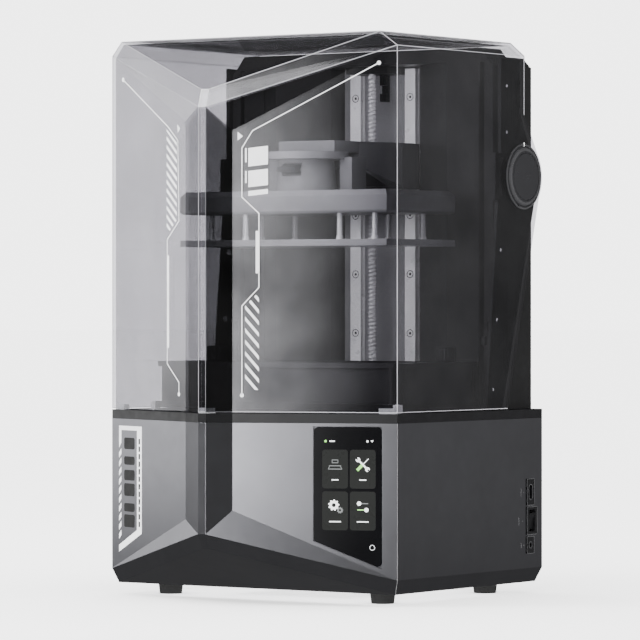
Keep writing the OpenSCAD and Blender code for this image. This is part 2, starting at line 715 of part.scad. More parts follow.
// Side view of a cover arm as Y and Z
module arm_plate() {
    polygon([[70.7, cover_z + 1], [98, cover_z + 1],
        [pivot_y + disc_r * cos(ear_low), pivot_z + disc_r * sin(ear_low)],
        [pivot_y + disc_r * 0.5, pivot_z + disc_r * 0.86], [pivot_y - 1, 458],
        [pivot_y - 1, body_h - 17], [95.7, body_h - 17], [95.7, 420], [86, 420],
        [85, 375], [90, 374]]);
    translate([pivot_y, pivot_z]) circle(r = disc_r, $fn = 96);
}

module arm(s) difference() {
    translate([s > 0 ? arm_x : -side_in, 0, 0]) rotate([90, 0, 90])
        linear_extrude(arm_t) arm_plate();
    translate([0, pivot_y, pivot_z]) bar_x(8.05, s * 158 - 8, s * 158 + 8);
    span([s * side_in - 2, 93, 380], [s * side_in + 2, 99, 416]);
    for (z = arm_screw_z) translate([0, arm_screw_y(z), z]) bar_x(1.6, s * 158 - 8, s * 158 + 8);
}

module arm_left() color(black) arm(-1);

module arm_right() color(black) arm(1);

module arm_screws() color(silver) for (side = [0, 1], z = arm_screw_z)
    mirror([side, 0, 0]) translate([arm_x, arm_screw_y(z), z]) {
        bar_x(3, -0.9, 0);
        bar_x(1.55, 0, arm_t - 0.1);
    }

// One round hinge cover, turned about +X: flange, dome and flat face
module hinge_disc() rotate([0, 90, 0]) rotate_extrude($fn = 96)
    polygon([[0, 162.2], [8.4, 162.2], [8.4, side_in], [disc_r, side_in], [disc_r, hw],
        [29, hw + 0.2], [27.3, hw + 1.2], [25.5, hw + 2.6], [22.9, hw + 3.3], [22.5, hw + 2.8],
        [22.1, hw + 3.2], [0, hw + 3.2]]);

module hinge_discs() color(black) translate([0, pivot_y, pivot_z]) {
    hinge_disc();
    mirror([1, 0, 0]) hinge_disc();
}

// Feet on the inside of the cover's lower edge, cut to the slant of its walls
module cover_pads() color([0.85, 0.85, 0.87]) intersection() {
    union() {
        for (s = [-1, 1])
            span([s * 154 - 8, corner_y - 10, seam_z], [s * 154 + 8, corner_y + 4, cover_z + 4]);
        span([-9, -hd, seam_z], [9, -hd + 9, cover_z + 4]);
    }
    roof_solid(cover_wall, seam_z - 1, hd);
}

base_shell();
base_rim();
deck_plate();
bottom_plate();
feet();
foot_screws();
exposure_panel();
lens_sheet();
light_box();
led_board();
heat_sink();
fan_frame();
fan_rotor();
mainboard();
board_posts();
rear_vent();
screen_glass();
screen_module();
usb_port();
switch_body();
switch_rocker();
power_inlet();
tower_shell();
tower_cap();
tower_back();
side_panels();
hinge_brackets();
hinge_pins();
column();
rails();
rail_screws();
lift_motor();
motor_coupling();
lift_screw();
top_bearing();
limit_sensor();
chamber_camera();
cover_stop();
carriage_blocks();
carriage_bracket();
lift_nut();
mount_body();
release_lever();
platform_block();
sprung_pins();
pin_springs();
build_plate();
cradle();
cradle_pins();
vat_tub();
film_frame();
vat_film();
knob_left();
knob_right();
cover_shell();
arm_left();
arm_right();
arm_screws();
hinge_discs();
cover_pads();
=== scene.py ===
import json
import math

import bmesh
import bpy
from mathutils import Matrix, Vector


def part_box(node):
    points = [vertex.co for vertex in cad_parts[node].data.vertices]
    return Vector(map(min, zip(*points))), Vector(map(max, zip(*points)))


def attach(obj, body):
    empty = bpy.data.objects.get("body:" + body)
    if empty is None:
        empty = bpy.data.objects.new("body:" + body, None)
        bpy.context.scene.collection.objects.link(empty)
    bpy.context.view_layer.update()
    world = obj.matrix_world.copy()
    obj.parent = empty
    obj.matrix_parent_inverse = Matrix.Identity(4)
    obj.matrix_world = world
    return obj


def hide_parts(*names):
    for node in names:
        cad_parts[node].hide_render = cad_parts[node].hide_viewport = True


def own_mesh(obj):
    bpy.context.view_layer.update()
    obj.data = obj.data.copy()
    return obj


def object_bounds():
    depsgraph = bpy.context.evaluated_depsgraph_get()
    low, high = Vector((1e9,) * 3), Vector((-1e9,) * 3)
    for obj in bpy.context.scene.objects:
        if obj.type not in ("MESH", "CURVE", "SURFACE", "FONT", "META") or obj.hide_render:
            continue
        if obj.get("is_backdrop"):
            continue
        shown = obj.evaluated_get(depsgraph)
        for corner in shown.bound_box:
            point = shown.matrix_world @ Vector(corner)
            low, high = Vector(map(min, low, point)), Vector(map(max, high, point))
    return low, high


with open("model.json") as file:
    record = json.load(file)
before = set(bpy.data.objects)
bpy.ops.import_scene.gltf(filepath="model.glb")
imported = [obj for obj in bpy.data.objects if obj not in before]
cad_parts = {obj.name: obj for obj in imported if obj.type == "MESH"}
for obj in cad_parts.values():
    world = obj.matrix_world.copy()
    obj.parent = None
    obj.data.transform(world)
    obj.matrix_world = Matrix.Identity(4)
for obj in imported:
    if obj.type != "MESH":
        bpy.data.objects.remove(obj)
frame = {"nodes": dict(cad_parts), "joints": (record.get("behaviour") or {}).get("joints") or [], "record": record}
nodes = frame["nodes"]
cad_low, cad_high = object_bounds()
MM = 0.001

# ---- Places taken from the frame, in metres ----

rim_low, rim_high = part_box("base_rim")
half_w = rim_high.x
prow_y = rim_low.y
# How far the front corners lie behind the prow, and half the width of the strip on the prow
CORNER_BACK = 78.6 * MM
STRIP_HALF = 4.25 * MM
ridge_l = Vector((-34.4 * MM, prow_y + 21.6 * MM))
ridge_r = Vector((22.2 * MM, prow_y + 17.3 * MM))
corner_l = Vector((-half_w, prow_y + CORNER_BACK))
corner_r = Vector((half_w, prow_y + CORNER_BACK))
# A point on the cover's hinge line
pivot = Vector(next(j for j in frame["joints"] if j["name"] == "cover_hinge")["pos_m"])


# ---- Materials ----

# Two directions count as the same when their cosine is over this
SAME_WAY = math.cos(math.radians(3))
# Sizes of the clouds that vary a finish's colour and gloss, and a sheet's haze
COLOUR_CLOUD, GLOSS_CLOUD, HAZE_CLOUD = 40 * MM, 9 * MM, 60 * MM


def node(tree, kind, **values):
    """A shader node, with its named inputs set."""
    made = tree.nodes.new(kind)
    for key, value in values.items():
        made.inputs[key.replace("_", " ")].default_value = value
    return made


def noise(tree, size, detail=3.0):
    """Noise in the object's own frame, with features about size metres wide."""
    place = tree.nodes.new("ShaderNodeTexCoord")
    made = node(tree, "ShaderNodeTexNoise", Scale=1 / size, Detail=detail)
    tree.links.new(place.outputs["Object"], made.inputs["Vector"])
    return made


def spread(tree, source, low, high):
    """The source's 0.3 to 0.7 mapped to low to high."""
    made = tree.nodes.new("ShaderNodeMapRange")
    for socket, value in zip(("From Min", "From Max", "To Min", "To Max"), (0.3, 0.7, low, high)):
        made.inputs[socket].default_value = value
    tree.links.new(source, made.inputs["Value"])
    return made.outputs["Result"]


def mottled(tree, colour, amount, size):
    """A colour that varies a little from place to place."""
    cloud = noise(tree, size)
    mix = tree.nodes.new("ShaderNodeMix")
    mix.data_type = "RGBA"
    dark = [c * (1 - amount) for c in colour]
    light = [min(1, c * (1 + amount)) for c in colour]
    mix.inputs["A"].default_value = (*dark, 1)
    mix.inputs["B"].default_value = (*light, 1)
    tree.links.new(spread(tree, cloud.outputs["Fac"], 0, 1), mix.inputs["Factor"])
    return mix.outputs["Result"]


def surface(name, colour, metallic, rough, rough_spread, grain, bump, edge=0.5 * MM, mottle=0.12,
            brushed=None, glow=0.0, specular=0.5):
    """A finish with uneven gloss, a fine grain and softly rounded edges.

    grain is the size of the grain, and bump its depth. brushed stretches it along an axis.
    """
    made = bpy.data.materials.new(name)
    made.use_nodes = True
    tree = made.node_tree
    shader = tree.nodes["Principled BSDF"]
    shader.inputs["Metallic"].default_value = metallic
    shader.inputs["Specular IOR Level"].default_value = specular
    link = tree.links.new
    link(mottled(tree, colour, mottle, COLOUR_CLOUD), shader.inputs["Base Color"])
    cloud = noise(tree, GLOSS_CLOUD)
    link(spread(tree, cloud.outputs["Fac"], max(0.02, rough - rough_spread), rough + rough_spread),
         shader.inputs["Roughness"])
    fine = noise(tree, grain, detail=2)
    if brushed:
        stretch = tree.nodes.new("ShaderNodeMapping")
        stretch.inputs["Scale"].default_value = brushed
        place = tree.nodes.new("ShaderNodeTexCoord")
        link(place.outputs["Object"], stretch.inputs["Vector"])
        link(stretch.outputs["Vector"], fine.inputs["Vector"])
    relief = node(tree, "ShaderNodeBump", Strength=1.0, Distance=bump)
    link(fine.outputs["Fac"], relief.inputs["Height"])
    if edge:
        round_edge = node(tree, "ShaderNodeBevel", Radius=edge)
        round_edge.samples = 4
        link(round_edge.outputs["Normal"], relief.inputs["Normal"])
    link(relief.outputs["Normal"], shader.inputs["Normal"])
    if glow:
        shader.inputs["Emission Color"].default_value = (*colour, 1)
        shader.inputs["Emission Strength"].default_value = glow
    return made


def clear(name, tint, shine, rough, haze, painted_reflection_side=None, painted_reflection_tint=None):
    """A thin clear sheet: it lets light straight through, shines, and has a faint haze of dust.

    A higher shine keeps the shine to flatter angles. Sheet that faces the given side, in the object's
    own frame, takes the darker tint instead: a painted dark reflection, not a tint of the sheet.
    """
    made = bpy.data.materials.new(name)
    made.use_nodes = True
    tree = made.node_tree
    link = tree.links.new
    gloss = tree.nodes["Principled BSDF"]
    gloss.inputs["Base Color"].default_value = (0.8, 0.8, 0.82, 1)
    gloss.inputs["Metallic"].default_value = 1
    cloud = noise(tree, HAZE_CLOUD)
    link(spread(tree, cloud.outputs["Fac"], rough * 0.7, rough * 1.3), gloss.inputs["Roughness"])
    through = tree.nodes.new("ShaderNodeBsdfTransparent")
    through.inputs["Color"].default_value = (*tint, 1)
    # Sheet facing that side takes a darker tint, which paints a dark reflection onto it
    if painted_reflection_side:
        place = tree.nodes.new("ShaderNodeTexCoord")
        facing = tree.nodes.new("ShaderNodeVectorMath")
        facing.operation = "DOT_PRODUCT"
        facing.inputs[1].default_value = painted_reflection_side
        link(place.outputs["Normal"], facing.inputs[0])
        size = node(tree, "ShaderNodeMath")
        size.operation = "ABSOLUTE"
        link(facing.outputs["Value"], size.inputs[0])
        painted_reflection_mask = node(tree, "ShaderNodeMath")
        painted_reflection_mask.operation = "GREATER_THAN"
        painted_reflection_mask.inputs[1].default_value = SAME_WAY
        link(size.outputs["Value"], painted_reflection_mask.inputs[0])
        mix = tree.nodes.new("ShaderNodeMix")
        mix.data_type = "RGBA"
        mix.inputs["A"].default_value = (*tint, 1)
        mix.inputs["B"].default_value = (*painted_reflection_tint, 1)
        link(painted_reflection_mask.outputs["Value"], mix.inputs["Factor"])
        link(mix.outputs["Result"], through.inputs["Color"])
    rim = node(tree, "ShaderNodeLayerWeight", Blend=0.5)
    curve = node(tree, "ShaderNodeMath")
    curve.operation = "POWER"
    curve.inputs[1].default_value = shine
    link(rim.outputs["Facing"], curve.inputs[0])
    veil = node(tree, "ShaderNodeMath")
    veil.operation = "ADD"
    veil.use_clamp = True
    link(curve.outputs["Value"], veil.inputs[0])
    link(spread(tree, cloud.outputs["Fac"], haze * 0.6, haze * 1.4), veil.inputs[1])
    both = tree.nodes.new("ShaderNodeMixShader")
    link(veil.outputs["Value"], both.inputs["Fac"])
    link(through.outputs["BSDF"], both.inputs[1])
    link(gloss.outputs["BSDF"], both.inputs[2])
    link(both.outputs["Shader"], tree.nodes["Material Output"].inputs["Surface"])
    return made


# The band of the cover between the strip on the prow and the right-hand ridge, and the way it faces: that band
# gets a painted dark reflection
band = ridge_r - Vector((STRIP_HALF, prow_y))
painted_reflection_normal = Vector((band.y, -band.x, 0)).normalized()

finish = {
    "gunmetal_shell": surface("gunmetal", (0.32, 0.32, 0.345), metallic=1, rough=0.3,
                              rough_spread=0.02, grain=1.2 * MM, bump=0.004 * MM, edge=0.8 * MM,
                              mottle=0.04),
    "black_trim": surface("black_trim", (0.006, 0.006, 0.007), metallic=0, rough=0.38,
                          rough_spread=0.06, grain=0.9 * MM, bump=0.012 * MM),
    "tower_plastic": surface("tower_plastic", (0.008, 0.008, 0.0085), metallic=0, rough=0.42,
                             rough_spread=0.06, grain=1.1 * MM, bump=0.005 * MM),
    "deck_paint": surface("deck_paint", (0.02, 0.02, 0.022), metallic=0.4, rough=0.36,
                          rough_spread=0.05, grain=1.0 * MM, bump=0.012 * MM),
    "rubber": surface("rubber", (0.01, 0.01, 0.01), metallic=0, rough=0.75, rough_spread=0.08,
                      grain=0.8 * MM, bump=0.1 * MM),
    "steel": surface("steel", (0.88, 0.88, 0.9), metallic=0.15, rough=0.32, rough_spread=0.06,
                     grain=0.4 * MM, bump=0.01 * MM, brushed=(1, 1, 0.02)),
    "chrome_rod": surface("chrome_rod", (0.85, 0.85, 0.87), metallic=0.45, rough=0.22,
                          rough_spread=0.04, grain=0.4 * MM, bump=0.005 * MM, edge=0.2 * MM),
    "aluminium": surface("aluminium", (0.24, 0.24, 0.25), metallic=0.35, rough=0.38,
                         rough_spread=0.06, grain=0.6 * MM, bump=0.0015 * MM,
                         brushed=(0.02, 1, 1)),
    "platform_metal": surface("platform_metal", (0.125, 0.125, 0.133), metallic=0.5, rough=0.36,
                              rough_spread=0.06, grain=0.9 * MM, bump=0.002 * MM, edge=0.8 * MM),
    "brass": surface("brass", (0.6, 0.42, 0.18), metallic=1, rough=0.3, rough_spread=0.06,
                     grain=0.3 * MM, bump=0.01 * MM),
    # The cover's band beside the prow strip on the right carries a painted dark reflection
    "smoke_cover": clear("smoke_cover", tint=(0.675, 0.67, 0.69), shine=4.2, rough=0.06, haze=0.09,
                         painted_reflection_side=painted_reflection_normal, painted_reflection_tint=(0.23, 0.23, 0.24)),
    "screen_glass": surface("screen_glass", (0.003, 0.003, 0.0035), metallic=0, rough=0.1,
                            rough_spread=0.02, grain=3 * MM, bump=0.0, edge=0.3 * MM,
                            specular=0.25),
    "display_glass": surface("display_glass", (0.004, 0.004, 0.008), metallic=0, rough=0.1,
                             rough_spread=0.03, grain=3 * MM, bump=0.0, edge=0.3 * MM),
    "clear_film": clear("clear_film", tint=(0.93, 0.95, 0.97), shine=4.5, rough=0.05, haze=0.02),
    "circuit_board": surface("circuit_board", (0.01, 0.06, 0.03), metallic=0, rough=0.4,
                             rough_spread=0.1, grain=0.9 * MM, bump=0.1 * MM, mottle=0.4),
    "light_trim": surface("light_trim", (0.6, 0.61, 0.63), metallic=0, rough=0.3,
                          rough_spread=0.06, grain=0.6 * MM, bump=0.02 * MM),
}
plate_metal = surface("plate_metal", (0.2, 0.2, 0.21), metallic=0.45, rough=0.34, rough_spread=0.06,
                      grain=0.5 * MM, bump=0.008 * MM, brushed=(0.02, 1, 1))
satin_black = surface("satin_black", (0.02, 0.02, 0.022), metallic=0.3, rough=0.3,
                      rough_spread=0.03, grain=0.9 * MM, bump=0.003 * MM, mottle=0.05)
# A light metal for a bead that paints the highlight on the base's front right corner
painted_corner_highlight = surface("painted_corner_highlight", (0.45, 0.45, 0.46), metallic=0.5, rough=0.3, rough_spread=0.05,
                      grain=0.6 * MM, bump=0, edge=0)
ring_black = surface("ring_black", (0.05, 0.05, 0.053), metallic=0.4, rough=0.3, rough_spread=0.04,
                     grain=0.9 * MM, bump=0.005 * MM)
print_white = surface("print_white", (0.75, 0.75, 0.76), metallic=0, rough=0.5, rough_spread=0.08,
                      grain=0.2 * MM, bump=0.01 * MM, edge=0)
print_grey = surface("print_grey", (0.06, 0.06, 0.063), metallic=0, rough=0.5, rough_spread=0.08,
                     grain=0.2 * MM, bump=0.01 * MM, edge=0)
print_black = surface("print_black", (0.008, 0.008, 0.008), metallic=0, rough=0.5,
                      rough_spread=0.08, grain=0.2 * MM, bump=0.01 * MM, edge=0)
tile_grey = surface("tile_grey", (0.0105, 0.011, 0.0105), metallic=0, rough=0.3, rough_spread=0.04,
                    grain=0.5 * MM, bump=0, edge=0, mottle=0.05, glow=0.6, specular=0.1)
icon_light = surface("icon_light", (0.7, 0.72, 0.72), metallic=0, rough=0.4, rough_spread=0.05,
                     grain=0.5 * MM, bump=0, edge=0, mottle=0.05, glow=0.8, specular=0.1)
icon_dim = surface("icon_dim", (0.11, 0.115, 0.115), metallic=0, rough=0.4, rough_spread=0.05,
                   grain=0.5 * MM, bump=0, edge=0, mottle=0.05, glow=1.0, specular=0.1)
icon_green = surface("icon_green", (0.2, 0.5, 0.12), metallic=0, rough=0.4, rough_spread=0.05,
                     grain=0.5 * MM, bump=0, edge=0, mottle=0.05, glow=1.2, specular=0.1)

for part in frame["record"]["subparts"]:
    mesh = nodes[part["node"]].data
    mesh.materials.clear()
    mesh.materials.append(finish[part["material_slot"]])
nodes["hinge_discs"].data.materials[0] = satin_black
nodes["build_plate"].data.materials[0] = plate_metal

# ---- Mesh helpers ----


class Shape:
    """A mesh under construction, in the row frame."""

    def __init__(self):
        self.points, self.faces = [], []

    def loop_stack(self, rings, closed_ends=True, around=False):
        """Joins rings of equally many points with quads, and caps the ends."""
        start, count = len(self.points), len(rings[0])
        for ring in rings:
            self.points += [Vector(p) for p in ring]
        pairs = list(zip(range(len(rings)), range(1, len(rings))))
        if around:
            pairs.append((len(rings) - 1, 0))
        for a, b in pairs:
            for i in range(count):
                j = (i + 1) % count
                self.faces.append([start + a * count + i, start + a * count + j,
                                   start + b * count + j, start + b * count + i])
        if closed_ends and not around:
            self.faces.append([start + i for i in reversed(range(count))])
            last = start + (len(rings) - 1) * count
            self.faces.append([last + i for i in range(count)])

    def build(self, name, material, body, slot, smooth=False):
        """The finished piece, riding that body."""
        mesh = bpy.data.meshes.new(name)
        mesh.from_pydata([tuple(p) for p in self.points], [], self.faces)
        mesh.materials.append(material)
        for face in mesh.polygons:
            face.use_smooth = smooth
        made = bpy.data.objects.new(name, mesh)
        bpy.context.scene.collection.objects.link(made)
        fix_normals(mesh)
        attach(made, body)
        return made


def fix_normals(mesh):
    """Turns every face outwards."""
    work = bmesh.new()
    work.from_mesh(mesh)
    bmesh.ops.recalc_face_normals(work, faces=work.faces)
    work.to_mesh(mesh)
    work.free()


class Face:
    """An upright plane that stands proud of a plan line. Its points are (along, height, proud)."""

    def __init__(self, start, end, proud=0.0):
        self.start = Vector((*start, 0))
        line = Vector((*end, 0)) - self.start
        self.along = line.normalized()
        self.out = Vector((self.along.y, -self.along.x, 0))
        self.proud = proud

    def at(self, along, height, proud=0.0):
        up = Vector((0, 0, height))
        return self.start + self.along * along + up + self.out * (self.proud + proud)

    def plate(self, shape, outline, thick, low=0.0):
        """A flat piece with that outline, from low to thick above the face."""
        shape.loop_stack([[self.at(a, h, low) for a, h in outline],
                          [self.at(a, h, thick) for a, h in outline]])


def ribbon(path, width):
    """Outline of a line of that width through the path, with mitred corners."""
    left, right = [], []
    for i, here in enumerate(path):
        here = Vector(here)
        before = (here - Vector(path[i - 1])).normalized() if i else None
        after = (Vector(path[i + 1]) - here).normalized() if i + 1 < len(path) else None
        way = ((before or after) + (after or before)).normalized()
        side = Vector((-way.y, way.x))
        reach = width / 2 / max(0.4, way.dot(after or before))
        left.append(here + side * reach)
        right.append(here - side * reach)
    return left + right[::-1]


def round_rect(x0, y0, x1, y1, radius, steps=4):
    """A rectangle with round corners."""
    made = []
    for cx, cy, turn in ((x1 - radius, y1 - radius, 0), (x0 + radius, y1 - radius, 90),
                         (x0 + radius, y0 + radius, 180), (x1 - radius, y0 + radius, 270)):
        for i in range(steps + 1):
            a = math.radians(turn + 90 * i / steps)
            made.append((cx + radius * math.cos(a), cy + radius * math.sin(a)))
    return made


def disc(x, y, radius, steps=20):
    """The outline of a disc."""
    turns = [i * math.tau / steps for i in range(steps)]
    return [(x + radius * math.cos(a), y + radius * math.sin(a)) for a in turns]


def scaled(points):
    """Millimetres to metres."""
    return [(x * MM, y * MM) for x, y in points]


def clipped(points, outline):
    """The part of a flat shape that lies inside a convex outline given anticlockwise."""
    for i, (bx, bz) in enumerate(outline):
        ax, az = outline[i - 1]
        depths = [(bx - ax) * (z - az) - (bz - az) * (x - ax) for x, z in points]
        kept = []
        for k, (x1, z1) in enumerate(points):
            x0, z0 = points[k - 1]
            here, before = depths[k], depths[k - 1]
            if here * before < 0:
                share = before / (before - here)
                kept.append((x0 + (x1 - x0) * share, z0 + (z1 - z0) * share))
            if here >= 0:
                kept.append((x1, z1))
        points = kept
    return points


def line_round(shape, face, box, radius, width, thick=0.12 * MM):
    """A thin raised line along a rectangle with round corners."""
    x0, z0, x1, z1 = box
    outer = round_rect(x0, z0, x1, z1, radius)
    inner = round_rect(x0 + width, z0 + width, x1 - width, z1 - width, radius - width)
    section = ((outer, 0), (outer, thick), (inner, thick), (inner, 0))
    shape.loop_stack([[face.at(a, h, lift) for a, h in loop] for loop, lift in section],
                     around=True)


def circle_points(centre, radius, steps, axis_u, axis_v):
    """Points round a circle that lies along two axes."""
    return [centre + axis_u * radius * math.cos(i * math.tau / steps)
            + axis_v * radius * math.sin(i * math.tau / steps) for i in range(steps)]


def tube(shape, path, radius, steps=8):
    """A round bar along the path."""
    rings = []
    for i, here in enumerate(path):
        way = (path[min(i + 1, len(path) - 1)] - path[max(i - 1, 0)]).normalized()
        side = (side - way * side.dot(way)).normalized() if rings else way.orthogonal().normalized()
        rings.append(circle_points(here, radius, steps, side, way.cross(side)))
    shape.loop_stack(rings)


X, Y, Z = Vector((1, 0, 0)), Vector((0, 1, 0)), Vector((0, 0, 1))
left_face = Face(corner_l, ridge_l)
right_face = Face(ridge_r, corner_r)

# ---- Printed marks on the cover ----

# How far printed marks stand proud, and how wide a printed line is
INK = 0.15 * MM
LINE_WIDTH = 0.9 * MM


def box_outline(x0, z0, x1, z1):
    """A rectangle in metres, from sides in millimetres."""
    return scaled([(x0, z0), (x1, z0), (x1, z1), (x0, z1)])


def cover_mark(name, face, line, bar, hatch, dots, triangle):
    """A thin printed circuit-like line with a thick bar, a hatched ladder and end dots.

    Its sizes are in millimetres. The hatch is its outline, then the stripes' step, height and drop.
    """
    marks = Shape()
    for path in line:
        face.plate(marks, ribbon(scaled(path), LINE_WIDTH), INK)
    face.plate(marks, box_outline(*bar), INK)
    outline, step, thick, drop = hatch
    (x0, low), (x1, _), _, (_, high) = outline
    for i in range(1, int((high + drop - low) / step) + 3):
        z = low + i * step
        stripe = [(x0, z), (x1, z - drop), (x1, z - drop + thick), (x0, z + thick)]
        stripe = clipped(stripe, outline)
        if len(stripe) > 2:
            face.plate(marks, scaled(stripe), INK)
    for x, z, r in dots:
        face.plate(marks, scaled(disc(x, z, r, 14)), INK)
    face.plate(marks, scaled(triangle), INK)
    return marks.build(name, print_white, "cover", "light_trim")


cover_mark(
    "cover_print_left", left_face,
    line=[[(22, 490), (109, 442), (127, 429), (129, 354), (107, 337), (107, 320)],
          [(107, 237), (107, 221), (129, 204), (129, 194)]],
    bar=(106.5, 236, 110.5, 322),
    hatch=([(106, 341), (125, 355), (125, 427), (106, 440)], 8.1, 3.4, 14.5),
    dots=[(22, 490, 2.2), (129, 193, 2)], triangle=[(126, 444), (131, 440), (127, 436)])
cover_mark(
    "cover_print_right", right_face,
    line=[[(137, 497), (19, 436), (9, 420), (9, 375), (25, 360), (25, 343)],
          [(25, 307), (25, 292), (9, 275), (9, 193)]],
    bar=(22, 305, 25.5, 344),
    hatch=([(12, 198), (25, 198), (25, 288), (12, 275)], 10.6, 3.8, 15),
    dots=[(137, 497, 1.9), (9, 193, 1.9)], triangle=[(5, 435), (10, 431), (5, 427)])

# Plain blocks where the real cover carries a mark: each with a thin bar beside the tall ones
BLOCK_LEFT, BLOCK_RIGHT, BLOCK_RISE = 15, 33.5, 2
blocks = Shape()
for low, high in ((376, 380.5), (384, 399), (403, 420)):
    right_face.plate(blocks, scaled([(BLOCK_LEFT, low), (BLOCK_RIGHT, low + BLOCK_RISE),
                                     (BLOCK_RIGHT, high + BLOCK_RISE), (BLOCK_LEFT, high)]), INK)
    if high - low > 10:
        right_face.plate(blocks, box_outline(12, low + 4, 13.6, high), INK)
blocks.build("cover_print_blocks", print_white, "cover", "light_trim")

# ---- Badge on the base's left face ----

# The frame's outer sides, and the inner sides of its right bar and its left edge
BADGE_LEFT, BADGE_RIGHT, BADGE_TOP = 14, 58, 161
BAR_LEFT, EDGE_RIGHT = 49, 18.4
badge = Shape()
for outline in (
        [(BADGE_LEFT, 157), (BADGE_RIGHT, 157), (BADGE_RIGHT, BADGE_TOP), (BADGE_LEFT, BADGE_TOP)],
        [(BAR_LEFT, 63), (BADGE_RIGHT, 60), (BADGE_RIGHT, 157), (BAR_LEFT, 157)],
        [(BADGE_LEFT, 41), (BADGE_RIGHT, 60), (BAR_LEFT, 63), (BADGE_LEFT, 47.5)],
        [(BADGE_LEFT, 140), (EDGE_RIGHT, 145), (EDGE_RIGHT, 157), (BADGE_LEFT, 157)]):
    left_face.plate(badge, scaled(outline), INK)
for i in range(10):
    z = 53 + i * 8.6
    left_face.plate(badge, scaled([(BADGE_LEFT, z), (EDGE_RIGHT, z + 4), (EDGE_RIGHT, z + 9),
                                   (BADGE_LEFT, z + 5)]), INK)
badge.build("base_badge", print_white, "base", "light_trim")

# Plain dark blocks inside the frame, and small dashes on its right bar
dashes = Shape()
for i in range(12):
    z = 66 + i * 7.1
    left_face.plate(dashes, box_outline(52, z, 55, z + 5.2), 1.4 * INK, INK)
for i, tall in enumerate((12, 8, 12, 10, 8, 11)):
    z = 65 + i * 14.8
    left_face.plate(dashes, scaled(round_rect(24, z, 44, z + tall, 2)), INK)
dashes.build("base_badge_blocks", print_black, "base", "black_trim")

# ---- Touch screen ----

glass = nodes["screen_glass"].data
glass_out = max((v.co - right_face.start).dot(right_face.out) for v in glass.vertices)
glass_low = min((v.co - right_face.start).dot(right_face.along) for v in glass.vertices)
glass_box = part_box("screen_glass")
screen = Face(ridge_r, corner_r, glass_out)
sx, sz = glass_low / MM, glass_box[0].z / MM
tiles, light, dim, green = Shape(), Shape(), Shape(), Shape()

# How far the tiles and icons stand proud of the glass. ON_TOP lifts a piece over another.
TILE = 0.12 * MM
ICON = 0.22 * MM
ON_TOP = 0.04 * MM
# Places and sizes of the four tiles, in millimetres
LEFT_X, RIGHT_X, LOW_Z, HIGH_Z = sx + 7.8, sx + 33.6, sz + 32.8, sz + 71.0
TILE_W, TILE_H = 24.0, 35.6


def box_on(shape, x0, z0, x1, z1):
    """A flat box on the screen, in millimetres."""
    screen.plate(shape, box_outline(x0, z0, x1, z1), ICON)


def stroke(shape, x0, z0, x1, z1, width, thick=ICON):
    """A straight line on the screen, in millimetres."""
    screen.plate(shape, ribbon(scaled([(x0, z0), (x1, z1)]), width * MM), thick)


for x in (LEFT_X, RIGHT_X):
    for z in (LOW_Z, HIGH_Z):
        screen.plate(tiles, scaled(round_rect(x, z, x + TILE_W, z + TILE_H, 2.6)), TILE)
        half_label = 3.2 if z == HIGH_Z else 5.4
        middle = x + TILE_W / 2
        box_on(light, middle - half_label, z + 7.4, middle + half_label, z + 8.4)


def icon_at(x, z):
    """The middle of the icon on the tile with that lower corner."""
    return x + TILE_W / 2, z + 22


# A printer on its bench
x, z = icon_at(LEFT_X, HIGH_Z)
for half, low, high in ((6.4, -4.6, -3.8), (5.6, -1.6, -0.8), (3, 1.2, 1.9), (3, 3.8, 4.5)):
    box_on(dim, x - half, z + low, x + half, z + high)
for side in (-1, 1):
    stroke(dim, x + side * 6.4, z - 4.2, x + side * 4.8, z - 1.2, 0.6)
    stroke(dim, x + side * 2.7, z + 1.5, x + side * 2.7, z + 4.1, 0.6)
# A spanner and a screwdriver with a green handle
x, z = icon_at(RIGHT_X, HIGH_Z)
stroke(light, x - 4.2, z + 4.2, x + 4.2, z - 4.2, 1.5)
for side in (-1, 1):
    screen.plate(light, scaled(disc(x + side * 4.4, z - side * 4.4, 2.1)), ICON)
    stroke(tiles, x + side * 4.6, z - side * 4.6, x + side * 6.6, z - side * 6.6, 1.5,
           ICON + 0.03 * MM)
stroke(light, x, z, x + 5.4, z + 5.4, 0.7, ICON + 0.05 * MM)
stroke(green, x - 5.2, z - 5.2, x - 0.4, z - 0.4, 2.6, ICON + 2 * ON_TOP)
# Two gears
x, z = icon_at(LEFT_X, LOW_Z)
TEETH, ROOT = 9, 0.78
for gear, gx, gz, r in ((light, -1.2, 1.0, 5.2), (dim, 4.6, -3.6, 3.0)):
    outline = []
    for i in range(TEETH * 4):
        a = math.tau * i / (TEETH * 4)
        reach = r if i % 4 < 2 else r * ROOT
        outline.append((x + gx + reach * math.cos(a), z + gz + reach * math.sin(a)))
    screen.plate(gear, scaled(outline), ICON)
    screen.plate(tiles, scaled(disc(x + gx, z + gz, r * 0.36)), ICON + ON_TOP)
# Two toggles
x, z = icon_at(RIGHT_X, LOW_Z)
for dz, side, track in ((2.6, -1, dim), (-3.2, 1, green)):
    box_on(track, x - 5, z + dz - 0.45, x + 5, z + dz + 0.45)
    screen.plate(light, scaled(disc(x + side * 3.4, z + dz, 2.0)), ICON + ON_TOP)
